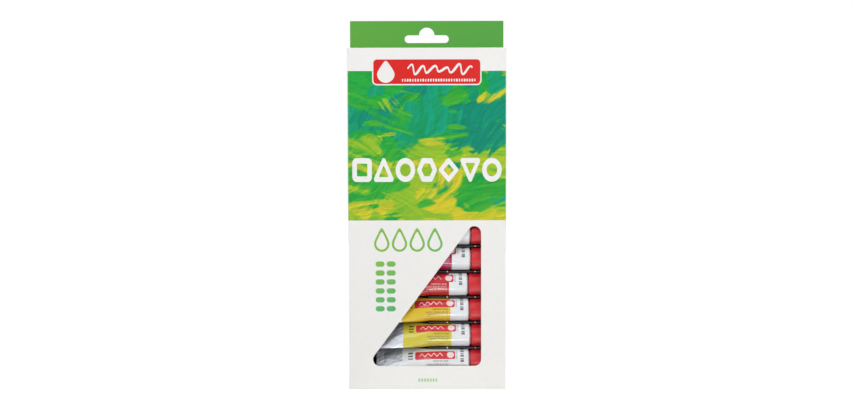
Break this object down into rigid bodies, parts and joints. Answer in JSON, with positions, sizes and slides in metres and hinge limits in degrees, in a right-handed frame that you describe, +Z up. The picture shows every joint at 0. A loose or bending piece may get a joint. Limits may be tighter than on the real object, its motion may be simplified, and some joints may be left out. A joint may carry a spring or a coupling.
{
  "type": "gouache paint set box",
  "caption": "Flat hanging carton with a three-cornered window, a tuck lid and a formed tray of capped aluminium gouache paint tubes.",
  "frame": {"origin": "under the middle of the carton, on the surface that it stands on", "axes": "+Z up along the carton, the windowed front faces -Y, the tube caps point to +X"},
  "size_m": [0.1124, 0.02, 0.265],
  "materials": {
    "printed_board": "satin coated board, white with printed colour",
    "tray_black": "glossy formed sheet",
    "tube_aluminium": "bare metal at the tail, glossy lacquer on the printed part",
    "cap_red": "glossy moulded",
    "gouache_black": "matt paint, inside its tube",
    "gouache_umber": "matt paint, inside its tube",
    "gouache_ochre": "matt paint, inside its tube",
    "gouache_dark_green": "matt paint, inside its tube",
    "gouache_leaf_green": "matt paint, inside its tube",
    "gouache_sky_blue": "matt paint, inside its tube",
    "gouache_ultramarine": "matt paint, inside its tube",
    "gouache_magenta": "matt paint, inside its tube",
    "gouache_scarlet": "matt paint, inside its tube",
    "gouache_warm_yellow": "matt paint, inside its tube",
    "gouache_lemon_yellow": "matt paint, inside its tube",
    "gouache_white": "matt paint, inside its tube"
  },
  "bodies": {
    "carton": {"carton_front_panel": "printed_board", "carton_back_panel": "printed_board", "carton_left_side": "printed_board", "carton_right_side": "printed_board", "carton_seam_flap": "printed_board", "bottom_outer_flap": "printed_board", "bottom_inner_flap": "printed_board", "bottom_dust_flap_left": "printed_board", "bottom_dust_flap_right": "printed_board", "tray": "tray_black", "tube_01": "tube_aluminium", "tube_02": "tube_aluminium", "tube_03": "tube_aluminium", "tube_04": "tube_aluminium", "tube_05": "tube_aluminium", "tube_06": "tube_aluminium", "tube_07": "tube_aluminium", "tube_08": "tube_aluminium", "tube_09": "tube_aluminium", "tube_10": "tube_aluminium", "tube_11": "tube_aluminium", "tube_12": "tube_aluminium", "paint_01": "gouache_black", "paint_02": "gouache_umber", "paint_03": "gouache_ochre", "paint_04": "gouache_dark_green", "paint_05": "gouache_leaf_green", "paint_06": "gouache_sky_blue", "paint_07": "gouache_ultramarine", "paint_08": "gouache_magenta", "paint_09": "gouache_scarlet", "paint_10": "gouache_warm_yellow", "paint_11": "gouache_lemon_yellow", "paint_12": "gouache_white"},
    "lid": {"lid": "printed_board"},
    "lid_tongue": {"lid_tongue": "printed_board"},
    "dust_flap_left": {"dust_flap_left": "printed_board"},
    "dust_flap_right": {"dust_flap_right": "printed_board"},
    "cap_01": {"cap_01": "cap_red"},
    "cap_02": {"cap_02": "cap_red"},
    "cap_03": {"cap_03": "cap_red"},
    "cap_04": {"cap_04": "cap_red"},
    "cap_05": {"cap_05": "cap_red"},
    "cap_06": {"cap_06": "cap_red"},
    "cap_07": {"cap_07": "cap_red"},
    "cap_08": {"cap_08": "cap_red"},
    "cap_09": {"cap_09": "cap_red"},
    "cap_10": {"cap_10": "cap_red"},
    "cap_11": {"cap_11": "cap_red"},
    "cap_12": {"cap_12": "cap_red"}
  },
  "joints": [
    {"name": "lid_hinge", "type": "hinge", "parent": "carton", "child": "lid", "pos_m": [0, -0.01, 0.24305], "axis": [1, 0, 0], "range_deg": [0, 160]},
    {"name": "tongue_fold", "type": "hinge", "parent": "lid", "child": "lid_tongue", "pos_m": [0, 0.00875, 0.24305], "axis": [1, 0, 0], "range_deg": [0, 32]},
    {"name": "dust_flap_left_fold", "type": "hinge", "parent": "carton", "child": "dust_flap_left", "pos_m": [-0.05625, 0, 0.24255], "axis": [0, -1, 0], "range_deg": [0, 72]},
    {"name": "dust_flap_right_fold", "type": "hinge", "parent": "carton", "child": "dust_flap_right", "pos_m": [0.05625, 0, 0.24255], "axis": [0, 1, 0], "range_deg": [0, 72]},
    {"name": "cap_01_turn", "type": "hinge", "parent": "carton", "child": "cap_01", "pos_m": [0.0388, -0.0004, 0.2218], "axis": [1, 0, 0], "continuous": true},
    {"name": "cap_02_turn", "type": "hinge", "parent": "carton", "child": "cap_02", "pos_m": [0.0383, -0.0004, 0.2034], "axis": [1, 0, 0], "continuous": true},
    {"name": "cap_03_turn", "type": "hinge", "parent": "carton", "child": "cap_03", "pos_m": [0.0391, -0.0004, 0.185], "axis": [1, 0, 0], "continuous": true},
    {"name": "cap_04_turn", "type": "hinge", "parent": "carton", "child": "cap_04", "pos_m": [0.0386, -0.0004, 0.1666], "axis": [1, 0, 0], "continuous": true},
    {"name": "cap_05_turn", "type": "hinge", "parent": "carton", "child": "cap_05", "pos_m": [0.0381, -0.0004, 0.1482], "axis": [1, 0, 0], "continuous": true},
    {"name": "cap_06_turn", "type": "hinge", "parent": "carton", "child": "cap_06", "pos_m": [0.0389, -0.0004, 0.1298], "axis": [1, 0, 0], "continuous": true},
    {"name": "cap_07_turn", "type": "hinge", "parent": "carton", "child": "cap_07", "pos_m": [0.0392, -0.0004, 0.1114], "axis": [1, 0, 0], "continuous": true},
    {"name": "cap_08_turn", "type": "hinge", "parent": "carton", "child": "cap_08", "pos_m": [0.0394, -0.0004, 0.093], "axis": [1, 0, 0], "continuous": true},
    {"name": "cap_09_turn", "type": "hinge", "parent": "carton", "child": "cap_09", "pos_m": [0.0374, -0.0004, 0.0746], "axis": [1, 0, 0], "continuous": true},
    {"name": "cap_10_turn", "type": "hinge", "parent": "carton", "child": "cap_10", "pos_m": [0.0383, -0.0004, 0.0562], "axis": [1, 0, 0], "continuous": true},
    {"name": "cap_11_turn", "type": "hinge", "parent": "carton", "child": "cap_11", "pos_m": [0.0392, -0.0004, 0.0378], "axis": [1, 0, 0], "continuous": true},
    {"name": "cap_12_turn", "type": "hinge", "parent": "carton", "child": "cap_12", "pos_m": [0.03855, -0.0004, 0.0194], "axis": [1, 0, 0], "continuous": true}
  ],
  "couplings": [
    {"joint": "tongue_fold", "follows": "lid_hinge", "ratio": 0.2},
    {"joint": "dust_flap_left_fold", "follows": "lid_hinge", "ratio": 0.45},
    {"joint": "dust_flap_right_fold", "follows": "lid_hinge", "ratio": 0.45}
  ]
}
